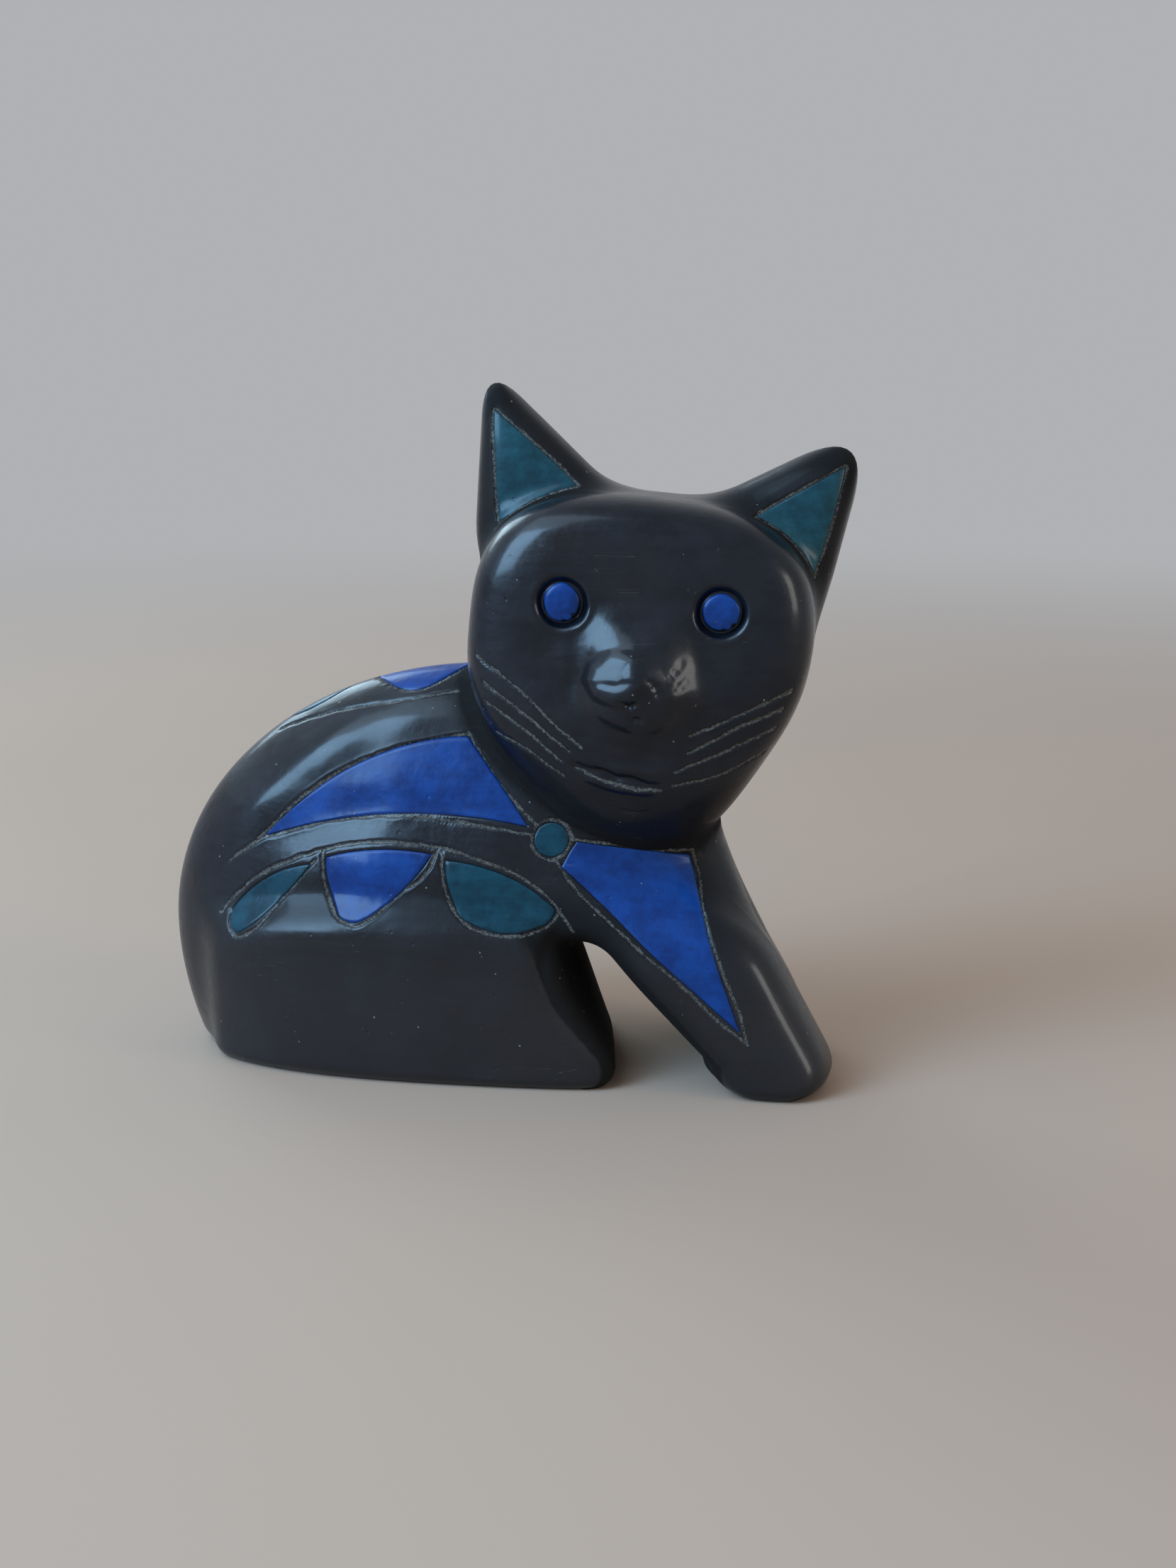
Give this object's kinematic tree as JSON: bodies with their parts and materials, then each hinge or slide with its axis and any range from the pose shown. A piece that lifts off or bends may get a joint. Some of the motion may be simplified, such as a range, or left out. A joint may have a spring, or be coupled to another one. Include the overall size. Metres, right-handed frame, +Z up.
{
  "type": "cat figurine",
  "caption": "Burnished black clay cat, lying with its head turned to its right side, with incised lines and blue and teal slip fields.",
  "frame": {"origin": "on the table, at the middle of the whole outline seen from above", "axes": "+X the way the cat lies, from rump to paws, +Y towards the cat's left side, +Z up"},
  "size_m": [0.127, 0.0546, 0.124],
  "materials": {
    "black_clay": "burnished satin",
    "cobalt_slip": "burnished satin",
    "teal_slip": "burnished satin"
  },
  "bodies": {
    "root": {"body_shell": "black_clay", "base_slab": "black_clay", "head_shell": "black_clay", "ear_right": "black_clay", "ear_left": "black_clay", "muzzle": "black_clay", "eye_right": "cobalt_slip", "eye_left": "cobalt_slip", "haunch_right": "black_clay", "haunch_left": "black_clay", "foreleg_right": "black_clay", "foreleg_left": "black_clay", "ear_field_right": "teal_slip", "ear_field_left": "teal_slip", "shoulder_field_right": "cobalt_slip", "shoulder_field_left": "cobalt_slip", "leg_field_right": "cobalt_slip", "leg_field_left": "cobalt_slip", "collar_dot_right": "teal_slip", "collar_dot_left": "teal_slip", "rear_scallop_right": "teal_slip", "rear_scallop_left": "teal_slip", "middle_scallop_right": "cobalt_slip", "middle_scallop_left": "cobalt_slip", "front_scallop_right": "teal_slip", "front_scallop_left": "teal_slip", "withers_leaf": "cobalt_slip", "back_leaf": "teal_slip"}
  },
  "joints": []
}
